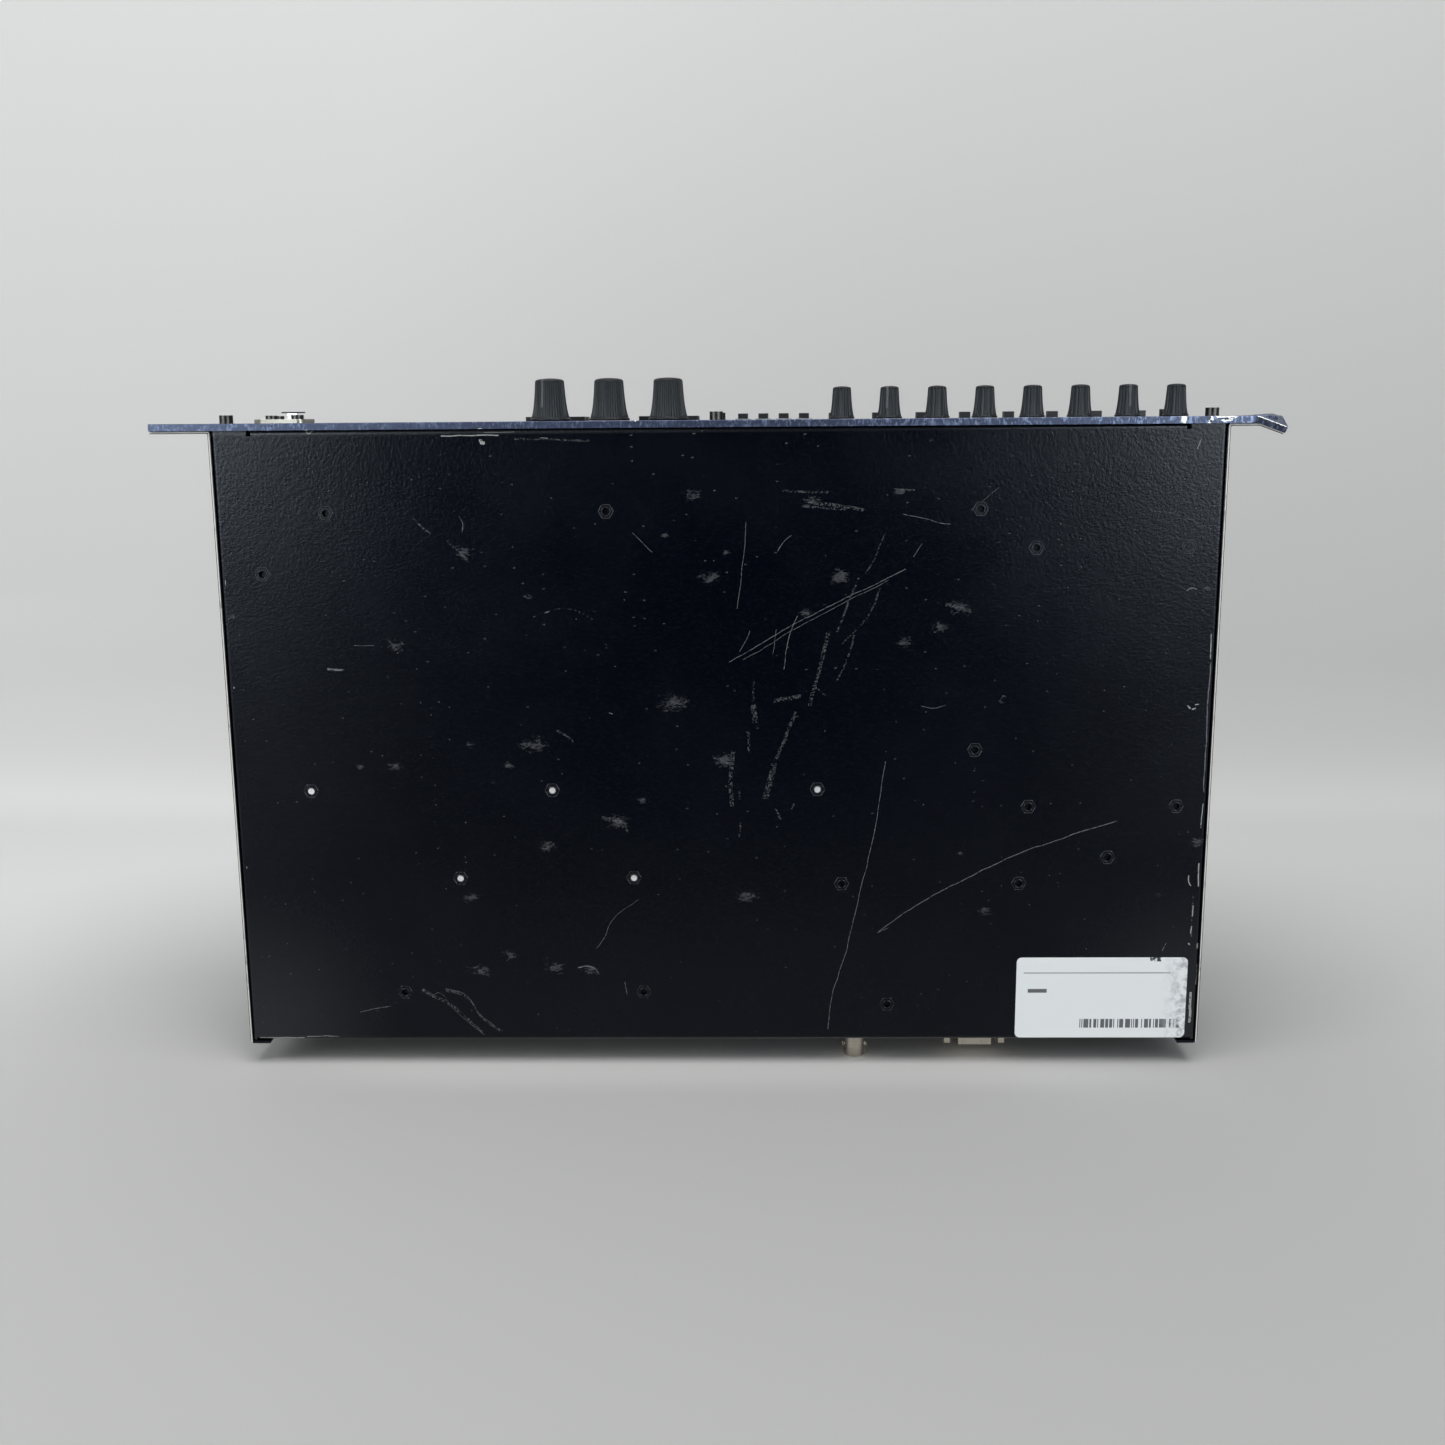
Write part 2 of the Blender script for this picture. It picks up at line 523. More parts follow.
pan_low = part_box("bottom_pan")[0].z
dress(["board_standoffs"], half_coated("standoff_steel", STANDOFF_BLACK, STANDOFF_STEEL, 0.35))
dress(["board_screws"], half_coated("board_screw_zinc", SCREW_BLACK, SCREW_ZINC, 0.3, 0.45))
bead_powder, bead_tree, bead_surface, _ = powder_coat("bead_powder")
bead_tree.links.remove(bead_surface.inputs["Base Color"].links[0])
set_colour(bead_surface, BEAD_BLACK)
beads = powder_beads("standoff_powder_beads", STUD_PLACES, pan_low + BEAD_SUNK,
                     STUD_ACROSS, BEAD_WIDE, BEAD_TALL)
lips = powder_beads("standoff_powder_lips", STUD_PLACES, pan_low + BEAD_SUNK,
                    LIP_ACROSS, LIP_WIDE, LIP_TALL, round_bead=True)
# Powder has closed the bore of one standoff.
skin_x, skin_y = SEALED_STUD
skin = rounded_plate("standoff_powder_skin", skin_x - SKIN_ROUND, skin_x + SKIN_ROUND,
                     skin_y - SKIN_ROUND, skin_y + SKIN_ROUND, SKIN_ROUND,
                     pan_low + SKIN_SUNK, SKIN_THICK)
for ridge in (beads, lips, skin):
    ridge.data.materials.append(bead_powder)
    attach(ridge, "chassis")


# ---- Lid and side brackets ------------------------------------------------------------
# The lid and the two brackets wear the same powder. The brackets are cut to size after
# coating, so their long edges show a thin light line of bare steel.

dress(["top_cover"], powder_coat("powder_coat")[0])

EDGE_STEEL = (0.66, 0.65, 0.60)
FLANGE_LINE, SIDE_LINE, LINE_HALF = -0.60, 216.0, 0.28


def flat_place(tree):
    """Where a point of a bent sheet was before the bend."""
    return shader(tree, "ShaderNodeAttribute", attribute_name="flat_place").outputs["Vector"]


def bare_edged_powder(name, bent):
    """Powder coat whose faces turned to +Z or -Z show a line of bare steel with dark nicks
    between two edges of powder. On the flange the line follows Y, on the side sheet X."""
    made, tree, surface, place = powder_coat(name)
    if bent:
        place = flat_place(tree)
    x, y, _ = axes(tree, vector(tree, "MULTIPLY", place, (1 / MM, 1 / MM, 1 / MM)))
    x = maths(tree, "ABSOLUTE", x)
    flange = product(tree, maths(tree, "COMPARE", y, FLANGE_LINE, LINE_HALF),
                     maths(tree, "GREATER_THAN", x, SIDE_LINE - LINE_HALF))
    side = product(tree, maths(tree, "COMPARE", x, SIDE_LINE, LINE_HALF),
                   maths(tree, "GREATER_THAN", y, FLANGE_LINE - LINE_HALF))
    upward = axes(tree, shader(tree, "ShaderNodeNewGeometry").outputs["True Normal"])["Z"]
    cut = product(tree, maths(tree, "GREATER_THAN", maths(tree, "ABSOLUTE", upward), 0.6),
                  greatest(tree, flange, side),
                  ramp(tree, grain(tree, place, 160.0, 4.0, 0.6), 0.30, 0.45, 0.55, 1.0))
    paint_over(tree, surface, cut, EDGE_STEEL)
    return made


dress(["left_side_bracket"], bare_edged_powder("left_bracket_powder", False))


# ---- Bent lower corner of the right ear -----------------------------------------------
# The unit was dropped on its right ear once: the aluminium panel and the steel flange behind
# it folded back together across the corner. Both are bent by one and the same rule.

CREASE_LOW = np.array([224.9, -44.05]) * MM
CREASE_HIGH = np.array([241.3, -30.5]) * MM
CREASE_ALONG = (CREASE_HIGH - CREASE_LOW) / np.linalg.norm(CREASE_HIGH - CREASE_LOW)
CREASE_OUT = np.array([CREASE_ALONG[1], -CREASE_ALONG[0]])
CREASE_TURN = math.radians(32.0)
CREASE_WIDE = 3.0 * MM
CREASE_PLANE = -4.2 * MM
BULGE_MIDDLE, BULGE_REACH, BULGE_PROUD = -9.5 * MM, 9.5 * MM, 0.9 * MM
EAR_FROM, BENT_FROM, BULGE_GROWS_OVER = 220 * MM, 221 * MM, 20 * MM
# Where the sheet is cut for bending: past the crease line, and along X in millimetres.
CREASE_CUTS = np.arange(-19.0, 10.6, 0.75) * MM
CROSS_CUTS = np.arange(221.0, 241.0, 2.0)
SHARP_TURN = math.radians(28)


def smooth_step(share):
    """0 below 0, 1 above 1, and between them three squares less two cubes."""
    share = np.clip(share, 0, 1)
    return share * share * (3 - 2 * share)


def fold_back(points):
    """Bends points behind the crease. At a distance s past it the sheet has turned by
    CREASE_TURN times a smooth step of s / CREASE_WIDE, so its front face runs outwards by
    the integral of the cosine and backwards by the integral of the sine; a point behind that
    face stays at right angles to it. Before the crease the sheet bulges forwards a little:
    a squared cosine hump, growing towards the ear's end."""
    gone = (points[:, [0, 2]] - CREASE_LOW) @ CREASE_OUT
    path = np.linspace(0.0, 15 * MM, 301)
    turn = CREASE_TURN * smooth_step(path / CREASE_WIDE)
    step = path[1] - path[0]
    run = np.concatenate([[0.0], np.cumsum(np.cos(turn[1:]) * step)])
    fall = np.concatenate([[0.0], np.cumsum(np.sin(turn[1:]) * step)])
    s = np.clip(gone, 0, None)
    a, u, v = (np.interp(s, path, values) for values in (turn, run, fall))
    off = points[:, 1] - CREASE_PLANE
    shift = u - off * np.sin(a) - s
    bent = points.copy()
    bent[:, 0] += shift * CREASE_OUT[0]
    bent[:, 2] += shift * CREASE_OUT[1]
    bent[:, 1] += np.where(gone > 0, v + off * (np.cos(a) - 1), 0.0)
    hump = np.cos(np.pi / 2 * np.clip(np.abs(gone - BULGE_MIDDLE) / BULGE_REACH, 0, 1)) ** 2
    bent[:, 1] -= BULGE_PROUD * hump * smooth_step((points[:, 0] - BENT_FROM) / BULGE_GROWS_OVER)
    return bent


def merged_copy(node):
    """A CAD node's mesh to work on, its loose triangles joined where they meet."""
    work = bmesh.new()
    work.from_mesh(nodes[node].data)
    bmesh.ops.remove_doubles(work, verts=work.verts, dist=0.5e-6)
    return work


def finished_mesh(work, name):
    """A mesh of triangles from what has been worked on."""
    bmesh.ops.triangulate(work, faces=work.faces)
    mesh = bpy.data.meshes.new(name)
    work.to_mesh(mesh)
    work.free()
    return mesh


def folded_copy(node, name, finish):
    """A copy of a CAD node with rows of cuts across its right ear, bent by fold_back. The
    place that each point had before the bend is kept as the attribute flat_place."""
    work = merged_copy(node)
    out = Vector((CREASE_OUT[0], 0.0, CREASE_OUT[1]))
    start = Vector((CREASE_LOW[0], 0.0, CREASE_LOW[1]))
    cuts = [(start + out * gap, out) for gap in CREASE_CUTS]
    cuts += [(Vector((x * MM, 0, 0)), Vector((1, 0, 0))) for x in CROSS_CUTS]
    for spot, across in cuts:
        ear = {face for vert in work.verts if vert.co.x > EAR_FROM for face in vert.link_faces}
        edges = {edge for face in ear for edge in face.edges}
        verts = {vert for face in ear for vert in face.verts}
        bmesh.ops.bisect_plane(work, geom=[*verts, *edges, *ear], dist=1e-7,
                               plane_co=spot, plane_no=across)
    mesh = finished_mesh(work, name)
    flat = np.empty(len(mesh.vertices) * 3)
    mesh.vertices.foreach_get("co", flat)
    mesh.attributes.new("flat_place", "FLOAT_VECTOR", "POINT").data.foreach_set("vector", flat)
    mesh.vertices.foreach_set("co", fold_back(flat.reshape(-1, 3)).ravel())
    mesh.shade_smooth()
    mesh.set_sharp_from_angle(angle=SHARP_TURN)
    middles = np.empty(len(mesh.polygons) * 3)
    mesh.polygons.foreach_get("center", middles)
    mesh.polygons.foreach_set("use_smooth", middles[::3] > BENT_FROM)
    mesh.materials.append(finish)
    made = place_mesh(name, mesh)
    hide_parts(node)
    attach(made, "chassis")
    return made


bent_bracket = folded_copy("right_side_bracket", "right_bracket_bent",
                           bare_edged_powder("right_bracket_powder", True))


# ---- Front panel ----------------------------------------------------------------------
# A 3 mm aluminium plate, sprayed a deep metallic blue with fine pale flecks. The paint is
# chipped to bare metal along the lower edge near the right ear.

PANEL_BLUE = (0.030, 0.040, 0.078)
PANEL_FLECK = (0.15, 0.19, 0.29)
NICK_BLACK = (0.012, 0.012, 0.014)
BARE_ALUMINIUM = (0.62, 0.60, 0.55)
LOWER_EDGE = -43.9
# Half width, then points along X and Y in millimetres, on the panel's lower edge.
PANEL_CHIPS = [
    (1.4, (194.8, -3.0), (198.2, -2.6)),
    (1.0, (207.2, -3.6), (209.2, -3.2)), (0.6, (206.0, -1.9), (208.4, -1.6)),
    (0.28, (209.2, -4.0), (214, -3.9), (219.2, -3.85)), (0.22, (211.5, -2.2), (217.6, -2.4)),
    (0.28, (214.8, -3.1), (218.2, -2.9)), (0.24, (221.9, -2.8), (223.0, -2.6)),
    (0.28, (226.5, -4.1), (233, -4.1), (241.3, -4.1)),
    (0.2, (-100.9, -1.3), (-99.2, -1.4)), (0.3, (166.6, -1.9), (167.6, -1.8)),
    (0.20, (241.2, -3.9), (241.2, -1.3)), (0.18, (-35, -4.1), (-33.5, -4.1)),
    (0.16, (-175.0, -1.4), (-173.6, -1.3)),
]
PANEL_NICKS = [
    (0.50, (206.4, -2.8), (208.6, -2.6)), (0.26, (209.6, -3.1), (216.6, -3.05)),
    (0.26, (209.2, -1.8), (211.2, -1.7)), (0.22, (194.6, -1.6), (199.0, -1.5)),
]


def flecked_blue():
    """Deep metallic blue with fine pale flecks drawn out across the plate's edges, and a few
    chips and black nicks on the lower edge."""
    made, tree, surface, _ = new_finish("flecked_blue")
    place = flat_place(tree)
    drawn = vector(tree, "MULTIPLY", place, (1.0, 0.45, 1.0))
    _, chance = cells(tree, drawn, 1500.0)
    fleck = product(tree, ramp(tree, chance, 0.45, 1.0),
                    ramp(tree, grain(tree, drawn, 420.0, 3.0, 0.6), 0.36, 0.64, 0.15, 1.0),
                    ramp(tree, axes(tree, place)["X"], -0.05, 0.16, 0.75, 1.5))
    spot = vector(tree, "MULTIPLY", place, (1 / MM, 1 / MM, 1 / MM))
    x, y, z = axes(tree, ragged(tree, place, spot, 900.0, 3.0, (2.4, 2.0, 0.0)))
    low = maths(tree, "LESS_THAN", z, LOWER_EDGE)
    chips = product(tree, all_strokes(tree, x, y, PANEL_CHIPS), low)
    nicks = product(tree, all_strokes(tree, x, y, PANEL_NICKS), low)
    tree.links.new(blend_colours(tree, fleck, PANEL_BLUE, PANEL_FLECK),
                   surface.inputs["Base Color"])
    paint_over(tree, surface, nicks, NICK_BLACK)
    paint_over(tree, surface, chips, BARE_ALUMINIUM)
    surface.inputs["Metallic"].default_value = 0.45
    surface.inputs["Roughness"].default_value = 0.42
    raise_surface(tree, surface, maths(tree, "SUBTRACT", grain(tree, place, 1300.0, 3.0), chips),
                  0.05 * MM)
    return made


panel = folded_copy("front_panel", "front_panel_bent", flecked_blue())


# ---- Knobs ----------------------------------------------------------------------------
# Each knob is moulded charcoal plastic: a thin base disc, a skirt that flares at the foot,
# fine flutes up the side and a slightly domed top with a pointer line.

KNOB_CHARCOAL = (0.010, 0.012, 0.014)
POINTER_PALE = (0.075, 0.080, 0.085)
POINTER_HALF, POINTER_FROM = 0.55 * MM, 0.3
# Heights as shares of the whole height, radii as shares of the base's or the crown's.
FOOT_HEIGHTS, FOOT_RADII = [0.006, 0.012, 0.05, 0.06], [0.93, 0.995, 1.0, 0.97]
DOME_TALL, CROWN_ROUND = 0.07, 0.70
DOME_FALLS = np.array([1, 0.8, 0.6, 0.42, 0.25, 0.1, 0.0])
DOME_RADII = np.array([1.0, 0.985, 0.93, 0.84, 0.66, 0.4, 0.001])
TAPER, FLARE = 0.12, 0.185


def moulded(name, colour, roughness):
    """Moulded plastic with a faint spark-eroded texture."""
    made, tree, surface, place = new_finish(name)
    darker = tuple(0.8 * part for part in colour)
    tree.links.new(blend_colours(tree, grain(tree, place, 60.0, 3.0), darker, colour),
                   surface.inputs["Base Color"])
    surface.inputs["Roughness"].default_value = roughness
    raise_surface(tree, surface, grain(tree, place, 900.0, 2.0), 0.02 * MM)
    return made, tree, surface


knob_plastic, knob_tree, knob_surface = moulded("knob_plastic", KNOB_CHARCOAL, 0.42)
knob_surface.inputs["Specular IOR Level"].default_value = 0.16
pointer_mark = shader(knob_tree, "ShaderNodeAttribute", attribute_name="pointer").outputs["Fac"]
paint_over(knob_tree, knob_surface, pointer_mark, POINTER_PALE)


def fluted_knob(name, node, flutes, depth, turn, flare_share):
    """A knob standing in its CAD node's box. Height share s runs from 0 at the foot to 1 at
    the crown. Radius is a straight taper plus a flare that fades as exp(-s / flare_share);
    flutes take away a cosine lobe of the given depth that fades out at foot and crown. The
    crown is a shallow dome."""
    low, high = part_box(node)
    cx, cz = (low.x + high.x) / 2, (low.z + high.z) / 2
    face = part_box("front_panel")[0].y
    base = (high.x - low.x) / 2
    tall = face - low.y
    crown = base * CROWN_ROUND
    side = np.concatenate([np.linspace(0.075, 0.3, 14), np.linspace(0.34, 0.91, 14)])
    radius = crown + base * (TAPER * (1 - side) + FLARE * np.exp(-side / flare_share))
    wave = depth * np.clip((side - 0.06) / 0.05, 0, 1) * np.clip((0.95 - side) / 0.03, 0, 1)
    heights = np.concatenate([FOOT_HEIGHTS, side, 1 - DOME_TALL * DOME_FALLS]) * tall
    radii = np.concatenate([base * np.array(FOOT_RADII), radius, DOME_RADII * crown])
    depths = np.concatenate([np.zeros(len(FOOT_RADII)), wave, np.zeros(len(DOME_RADII))])
    around = flutes * 8
    angle = np.linspace(0, 2 * np.pi, around, endpoint=False)
    lobe = np.power(0.5 - 0.5 * np.cos(angle * flutes), 1.6)
    spread = radii[:, None] - depths[:, None] * lobe[None, :]
    points = np.stack([cx + spread * np.sin(angle + turn),
                       np.broadcast_to(face - heights[:, None], spread.shape),
                       cz - spread * np.cos(angle + turn)], axis=-1).reshape(-1, 3)
    made = add_mesh(name, points, ring_faces(len(heights), around))
    beside = np.abs(spread * np.sin(angle)) < POINTER_HALF
    above = (heights > POINTER_FROM * tall)[:, None]
    mark = (beside & (np.cos(angle) > 0) & above).astype(float).ravel()
    made.data.attributes.new("pointer", "FLOAT", "POINT").data.foreach_set("value", mark)
    made.data.materials.append(knob_plastic)
    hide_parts(node)
    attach(made, node)


# Each kind of knob: flutes, their depth, how soon the flare fades, and the degrees each is
# turned to.
KNOB_KINDS = {"encoder_knob": (40, 0.40 * MM, 0.225, (-25, 150, 100)),
              "level_knob": (16, 0.46 * MM, 0.24, (140, -20, 170, 200, 120, 210, 0, 150))}
for kind, (flutes, depth, flare_share, turns) in KNOB_KINDS.items():
    for number, turn in enumerate(turns, start=1):
        fluted_knob(f"{kind}_{number}_fluted", f"{kind}_{number}", flutes, depth,
                    math.radians(turn), flare_share)


# ---- Keys and buttons -----------------------------------------------------------------
# Moulded dark grey caps that stand through the panel. The four input buttons each have a
# thin square collar of satin aluminium round them.

KEY_GREY = (0.012, 0.013, 0.014)
key_plastic, _, key_surface = moulded("key_plastic", KEY_GREY, 0.45)
key_surface.inputs["Specular IOR Level"].default_value = 0.25
KEYS = ([f"menu_key_{i}" for i in range(1, 5)] + [f"input_button_{i}" for i in range(1, 5)]
        + [f"mute_button_{i}" for i in range(1, 9)])
dress(KEYS + ["power_rocker"], key_plastic)

COLLAR_OUT, COLLAR_IN, COLLAR_PROUD = 3.35 * MM, 3.05 * MM, 0.4 * MM
ALUMINIUM = (0.34, 0.34, 0.33)


def square_collar(name, node):
    """A thin square ring round a button, flat on the panel: one four-cornered profile, from
    the panel up the inside, over the top and down the outside, carried to four corners."""
    low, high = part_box(node)
    cx, cz = (low.x + high.x) / 2, (low.z + high.z) / 2
    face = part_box("front_panel")[0].y
    corner = np.radians([45, 135, 225, 315])
    reach = np.array([COLLAR_OUT, COLLAR_OUT, COLLAR_IN, COLLAR_IN]) * math.sqrt(2)
    proud = np.array([0.0, COLLAR_PROUD, COLLAR_PROUD, 0.0])
    points = np.stack([cx + reach[:, None] * np.sin(corner),
                       face - proud[:, None] + 0 * corner,
                       cz - reach[:, None] * np.cos(corner)], axis=-1).reshape(-1, 3)
    made = add_mesh(name, points, ring_faces(4, 4), smooth=False)
    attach(made, "chassis")
    return made


def metal(name, colour, roughness):
    """Bare or plated metal with faint uneven polish."""
    made, tree, surface, place = new_finish(name)
    clouds = grain(tree, place, 400.0, 3.0)
    darker = tuple(0.75 * part for part in colour)
    tree.links.new(blend_colours(tree, clouds, darker, colour), surface.inputs["Base Color"])
    surface.inputs["Metallic"].default_value = 1.0
    tree.links.new(ramp(tree, clouds, 0.2, 0.8, roughness * 0.8, roughness * 1.2),
                   surface.inputs["Roughness"])
    raise_surface(tree, surface, grain(tree, place, 2500.0, 2.0), 0.01 * MM)
    return made, tree, surface, place


satin_aluminium = metal("satin_aluminium", ALUMINIUM, 0.45)[0]
for number in range(1, 5):
    collar = square_collar(f"input_collar_{number}", f"input_button_{number}")
    collar.data.materials.append(satin_aluminium)


# ---- Display and meters ---------------------------------------------------------------
# A smoked acrylic lens fills the window over the display, and smoked light bars fill the
# slots of the level meters, all a little behind the panel's face.

SMOKE = (0.008, 0.010, 0.013)
smoked, _, smoked_surface, _ = new_finish("smoked_acrylic")
set_colour(smoked_surface, SMOKE)
smoked_surface.inputs["Roughness"].default_value = 0.08
dress(["panel_lenses"], smoked)


# ---- Screws and bright metal ----------------------------------------------------------
# Black oxide screws outside, bright zinc inside, nickel on the sockets and polished nickel
# on their pins and latches.

OXIDE = (0.045, 0.042, 0.040)
ZINC = (0.62, 0.63, 0.64)
NICKEL = (0.60, 0.55, 0.47)
NICKEL_POLISHED = (0.72, 0.70, 0.66)
NICKEL_AGED = (0.38, 0.355, 0.30)
LATCH_STEEL, LATCH_BLACK = (0.66, 0.65, 0.62), (0.02, 0.02, 0.02)
LATCH_PLATE = 0.65 * MM
BETWEEN_PORTS = 100.0 * MM

dress(["panel_cap_screws", "chassis_screws"], metal("black_oxide", OXIDE, 0.38)[0])
dress(["encoder_bodies", "level_pot_bodies"], metal("bright_zinc", ZINC, 0.3)[0])
dress(["clock_jack", "serial_port"], metal("satin_nickel", NICKEL, 0.32)[0])
dress(["output_contact_pins"] + [f"input_latch_{i}" for i in range(1, 5)],
      metal("polished_nickel", NICKEL_POLISHED, 0.18)[0])

# The data port's flange is a long diagonal oval: its two free corners are cut away.
PORT_ACROSS = Vector((0.88, 0.0, 0.47)).normalized()
PORT_REACH = 12.6 * MM


def trimmed_port(name):
    """A copy of the data port with the flange cut by two planes at PORT_REACH either side."""
    low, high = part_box("data_port")
    middle = (low + high) / 2
    work = merged_copy("data_port")
    for side in (1, -1):
        bmesh.ops.bisect_plane(work, geom=[*work.verts, *work.edges, *work.faces], dist=1e-7,
                               plane_co=middle + PORT_ACROSS * side * PORT_REACH,
                               plane_no=PORT_ACROSS * side, clear_outer=True)
        bmesh.ops.holes_fill(work, edges=[edge for edge in work.edges if edge.is_boundary])
    bmesh.ops.recalc_face_normals(work, faces=work.faces)
    made = place_mesh(name, finished_mesh(work, name))
    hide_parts("data_port")
    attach(made, "chassis")
    return made


port = trimmed_port("data_port_trimmed")
port.data.materials.append(metal("aged_nickel", NICKEL_AGED, 0.46)[0])


def half_black_metal(name, colour, roughness, black_before, black):
    """Metal that is blackened in front of one place along Y."""
    made, tree, surface, place = metal(name, colour, roughness)
    front = maths(tree, "LESS_THAN", axes(tree, place)["Y"], black_before)
    paint_over(tree, surface, front, black)
    return made


# Black screws on the data port in front, nickel jackscrews on the serial port behind.
dress(["connector_screws"],
      half_black_metal("connector_screw_metal", NICKEL, 0.35, BETWEEN_PORTS, OXIDE))
# A bright steel latch whose push plate is blackened.
latch_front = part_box("data_latch")[0].y
dress(["data_latch"],
      half_black_metal("latch_steel", LATCH_STEEL, 0.34, latch_front + LATCH_PLATE, LATCH_BLACK))


# ---- Boards and rear sockets ----------------------------------------------------------
# Green boards inside the closed chassis, and black moulded sockets through the rear wall.

BOARD_GREEN = (0.010, 0.075, 0.035)
SOCKET_BLACK = (0.018, 0.018, 0.019)
dress(["main_board", "power_supply", "input_board", "control_board"],
      moulded("solder_resist", BOARD_GREEN, 0.35)[0])
dress(["display_module", "key_switches", "input_sockets", "input_inserts",
       "output_sockets", "mains_inlet"], moulded("socket_black", SOCKET_BLACK, 0.5)[0])


# ---- Label ----------------------------------------------------------------------------
# A white paper sticker with rounded corners near the rear edge, printed with one rule, one
# bar and a block of plain stripes, and rubbed grey towards the unit's right side.

LABEL_LEFT, LABEL_RIGHT = 133.7 * MM, 210.5 * MM
LABEL_FRONT, LABEL_BACK = 234.7 * MM, 272.9 * MM
LABEL_CORNER = 2.3 * MM
LABEL_THICK = 0.12 * MM
PAPER = (0.82, 0.86, 0.85)
PAPER_RUBBED = (0.42, 0.44, 0.46)
INK = (0.035, 0.040, 0.050)
# Left, right, front and back in millimetres; the stripes' steps are in millimetres too.
RULE, BAR = (137, 203, 241.8, 242.2), (139, 147.6, 249.6, 251.4)
STRIPES, STRIPE_STEP = (162.5, 208, 264.0, 268.2), 0.45
SCUFF = (193.5, 198.5, 234.5, 236.6)
RUBBED_FROM, RUBBED_TO = 198.0, 211.0


label = rounded_plate("paper_label", LABEL_LEFT, LABEL_RIGHT, LABEL_FRONT, LABEL_BACK,
                      LABEL_CORNER, pan_low - LABEL_THICK, LABEL_THICK)


def inside_box(tree, x, y, left, right, front, back):
    """1 inside a rectangle, else 0."""
    return product(tree, maths(tree, "COMPARE", x, (left + right) / 2, (right - left) / 2),
                   maths(tree, "COMPARE", y, (front + back) / 2, (back - front) / 2))


def printed_paper():
    """White paper with its printing, a black scuff on the front edge, and one rubbed side."""
    made, tree, surface, place = new_finish("label_paper")
    x, y, _ = axes(tree, vector(tree, "MULTIPLY", place, (1 / MM, 1 / MM, 0.0)))
    chance = shader(tree, "ShaderNodeTexNoise",
                    {"W": maths(tree, "SNAP", x, STRIPE_STEP), "Scale": 5.0, "Detail": 0.0},
                    noise_dimensions="1D").outputs["Fac"]
    stripes = product(tree, inside_box(tree, x, y, *STRIPES),
                      maths(tree, "GREATER_THAN", chance, 0.48))
    towards_side = ramp(tree, x, RUBBED_FROM, RUBBED_TO)
    worn_off = product(tree, towards_side,
                       ramp(tree, grain(tree, place, 420.0, 4.0, 0.65), 0.40, 0.56))
    rub = product(tree, towards_side,
                  ramp(tree, grain(tree, place, 300.0, 5.0, 0.7), 0.42, 0.62))
    scuff = product(tree, inside_box(tree, x, y, *SCUFF),
                    ramp(tree, grain(tree, place, 900.0, 3.0), 0.44, 0.54))
    ink = greatest(tree, inside_box(tree, x, y, *RULE), inside_box(tree, x, y, *BAR), stripes)
    ink = greatest(tree, product(tree, ink, rest_of(tree, worn_off), 0.9), scuff)
    tree.links.new(blend_colours(tree, rub, PAPER, PAPER_RUBBED), surface.inputs["Base Color"])
    paint_over(tree, surface, ink, INK)
    surface.inputs["Roughness"].default_value = 0.5
    return made


label.data.materials.append(printed_paper())
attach(label, "chassis")


# ---- Camera, stage and light ----------------------------------------------------------
# The unit stands on its rear on a pale sweep, seen from below. The sweep and the room card
# are stages, and three soft square lamps light the unit.

CAMERA_AT = Vector((0.01387, -0.00258, -0.69710))
CAMERA_RIGHT = Vector((0.999826, 0.007702, 0.017016))
CAMERA_UP = Vector((0.004274, -0.981188, 0.193006))
camera_data = bpy.data.cameras.new("camera")
camera_data.sensor_width = 36.0
camera_data.lens = 36.0 * 1520 / 1445
camera = bpy.data.objects.new("camera", camera_data)
turned = Matrix([CAMERA_RIGHT, CAMERA_UP, CAMERA_RIGHT.cross(CAMERA_UP)]).transposed().to_4x4()
camera.matrix_world = Matrix.Translation(CAMERA_AT) @ turned
bpy.context.scene.collection.objects.link(camera)
bpy.context.scene.camera = camera
bpy.context.scene.view_settings.view_transform = "Standard"

FLOOR_GREY = (0.60, 0.60, 0.585)
BEND_Z, BEND_ROUND = 0.38, 0.16
SWEEP_FRONT, SWEEP_TALL, SWEEP_HALF = -3.0, 4.0, 4.0
# Where the paper's tone changes, as from and to along an axis, then the values there.
TONE_TO_RIGHT = (-0.7, 0.25, 1.06, 0.90)
OFF_MIDDLE, TOWARDS_CAMERA = (0.15, 0.65), (0.34, -0.08)
LOSS_NEAR_MIDDLE, LOSS_NEAR_SIDES = 0.34, 0.11
LOSS_UP_WALL = (-0.35, 0.22, -0.02, 0.04)
BENT_ALONG, LOSS_IN_BEND = (0.41, 0.50), (0.12, 0.20, 0.0, 0.15)
UNDER_NEAR, UNDER_FAR, UNDER_SIDES = (-0.085, -0.045), (0.05, 0.0), (0.27, 0.10)
LIGHTER_UNDER = 1.16
MIRRORED_SIDES, MIRRORED_ALONG = (0.20, 0.43, 1.0, 0.0), (-0.05, -0.5, 0.10, 0.97)


def show_only(tree, seen, finish):
    """Makes a finish clear wherever seen is 0."""
    clear = shader(tree, "ShaderNodeBsdfTransparent")
    mixed = shader(tree, "ShaderNodeMixShader", {0: seen, 1: clear.outputs[0],
                                                 2: finish.outputs[0]})
    tree.links.new(mixed.outputs[0], tree.nodes["Material Output"].inputs["Surface"])


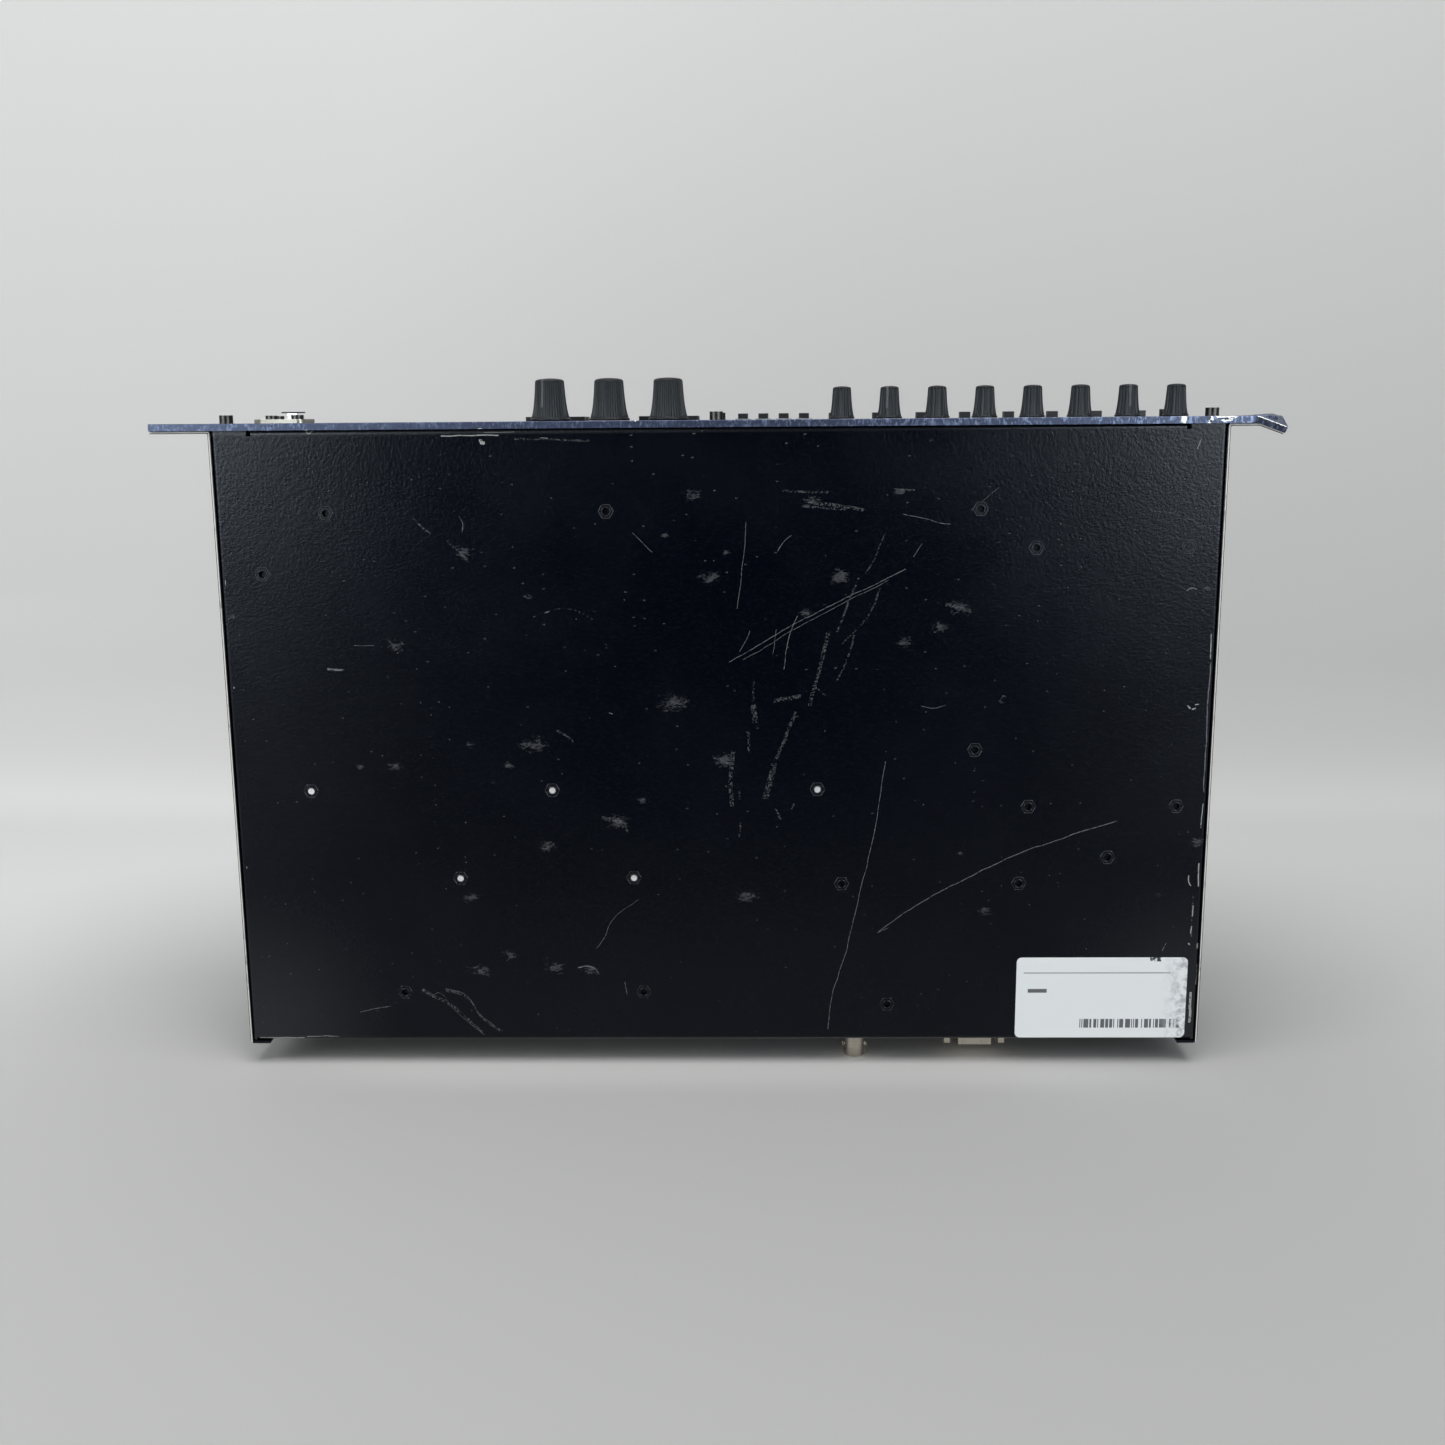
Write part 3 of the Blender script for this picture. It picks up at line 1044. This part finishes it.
def sweep_tone(tree, x, y, z):
    """The paper's tone by place: deeper towards the camera, in the bend and to the right,
    and a little lighter under the unit."""
    side = ramp(tree, maths(tree, "ABSOLUTE", maths(tree, "ADD", x, 0.02)), *OFF_MIDDLE)
    nearer = product(tree, ramp(tree, z, *TOWARDS_CAMERA),
                     ramp(tree, side, 0.0, 1.0, LOSS_NEAR_MIDDLE, LOSS_NEAR_SIDES))
    on_wall = product(tree, ramp(tree, z, BEND_Z, BEND_Z + BEND_ROUND),
                      ramp(tree, y, *LOSS_UP_WALL))
    in_bend = product(tree, ramp(tree, z, *BENT_ALONG), ramp(tree, y, *LOSS_IN_BEND))
    kept = maths(tree, "SUBTRACT", rest_of(tree, nearer), maths(tree, "ADD", on_wall, in_bend))
    under = product(tree, ramp(tree, z, *UNDER_NEAR), ramp(tree, z, *UNDER_FAR),
                    ramp(tree, maths(tree, "ABSOLUTE", x), *UNDER_SIDES))
    return product(tree, ramp(tree, x, *TONE_TO_RIGHT), kept,
                   ramp(tree, under, 0.0, 1.0, 1.0, LIGHTER_UNDER))


def sweep_paper():
    """Pale matt paper, seen only from its front and never by diffuse or shadow rays. It is
    much deeper in reflections near the middle, where a dark room would stand in front."""
    made, tree, surface, place = new_finish("sweep_paper")
    surface.inputs["Roughness"].default_value = 0.8
    x, y, z = axes(tree, place)
    path = shader(tree, "ShaderNodeLightPath").outputs
    mirrored = product(tree, path["Is Glossy Ray"],
                       ramp(tree, maths(tree, "ABSOLUTE", x), *MIRRORED_SIDES),
                       ramp(tree, z, *MIRRORED_ALONG))
    tone = product(tree, sweep_tone(tree, x, y, z), rest_of(tree, mirrored))
    tree.links.new(blend_colours(tree, tone, (0.0, 0.0, 0.0), FLOOR_GREY),
                   surface.inputs["Base Color"])
    rays = greatest(tree, path["Is Camera Ray"], path["Is Glossy Ray"],
                    path["Is Transmission Ray"])
    back = shader(tree, "ShaderNodeNewGeometry").outputs["Backfacing"]
    show_only(tree, product(tree, rays, rest_of(tree, back)), surface)
    return made


floor_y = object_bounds()[1].y + 0.2 * MM
bend = np.radians(np.linspace(5, 90, 18))
profile_z = np.concatenate([[SWEEP_FRONT, BEND_Z], BEND_Z + BEND_ROUND * np.sin(bend),
                            [BEND_Z + BEND_ROUND]])
profile_y = floor_y - np.concatenate([[0.0, 0.0], BEND_ROUND * (1 - np.cos(bend)),
                                      [SWEEP_TALL]])
sweep_points = np.array([(x, y, z) for y, z in zip(profile_y, profile_z)
                         for x in (-SWEEP_HALF, SWEEP_HALF)])
sweep_faces = [[2 * i, 2 * i + 1, 2 * i + 3, 2 * i + 2] for i in range(len(profile_y) - 1)]
sweep = add_mesh("sweep", sweep_points, sweep_faces)
sweep.data.materials.append(sweep_paper())

# A card behind the camera that only reflections see: black in the middle, like a dark room,
# and bright high up on both sides. A strength of 1 is white.
ROOM_Z = -1.1
ROOM_DARK, ROOM_BRIGHT = 0.0, 14.0
ROOM_TINT = (0.84, 0.94, 1.0, 1.0)


def room_glow():
    """Light from the card: bright high up on both sides, dark in the middle."""
    made = bpy.data.materials.new("room_glow")
    made.use_nodes = True
    tree = made.node_tree
    tree.nodes.remove(tree.nodes["Principled BSDF"])
    x, y, _ = axes(tree, shader(tree, "ShaderNodeTexCoord").outputs["Object"])
    sides = greatest(tree, ramp(tree, x, -0.45, -0.72), ramp(tree, x, 0.40, 0.62))
    high = ramp(tree, y, 0.22, -0.15, 0.05, 1.0)
    glow = ramp(tree, product(tree, sides, high), 0.0, 1.0, ROOM_DARK, ROOM_BRIGHT)
    lamp = shader(tree, "ShaderNodeEmission", {"Color": ROOM_TINT, "Strength": glow})
    show_only(tree, shader(tree, "ShaderNodeLightPath").outputs["Is Glossy Ray"], lamp)
    return made


room = add_mesh("room", np.array([(-1.6, -1.0, ROOM_Z), (1.6, -1.0, ROOM_Z),
                                  (1.6, 1.6, ROOM_Z), (-1.6, 1.6, ROOM_Z)]), [[0, 1, 2, 3]])
room.data.materials.append(room_glow())

world = bpy.data.worlds.new("studio")
world.use_nodes = True
world.node_tree.nodes["Background"].inputs["Color"].default_value = (0.93, 0.95, 1.0, 1.0)
world.node_tree.nodes["Background"].inputs["Strength"].default_value = 0.5
bpy.context.scene.world = world


def soft_light(name, place, aim, size, power):
    """A square area light that looks at a point."""
    data = bpy.data.lights.new(name, "AREA")
    data.shape = "SQUARE"
    data.size = size
    data.energy = power
    made = bpy.data.objects.new(name, data)
    made.location = place
    made.rotation_euler = (Vector(aim) - Vector(place)).to_track_quat("-Z", "Y").to_euler()
    bpy.context.scene.collection.objects.link(made)


soft_light("overhead", (0.1, -1.7, -0.7), (0.0, 0.1, 0.0), 1.3, 34)
soft_light("side_fill", (-1.5, -0.8, -1.0), (0.0, 0.1, 0.0), 1.0, 12)
soft_light("rear_fill", (0.5, 1.7, 0.7), (0.0, 0.2, 0.0), 1.2, 26)
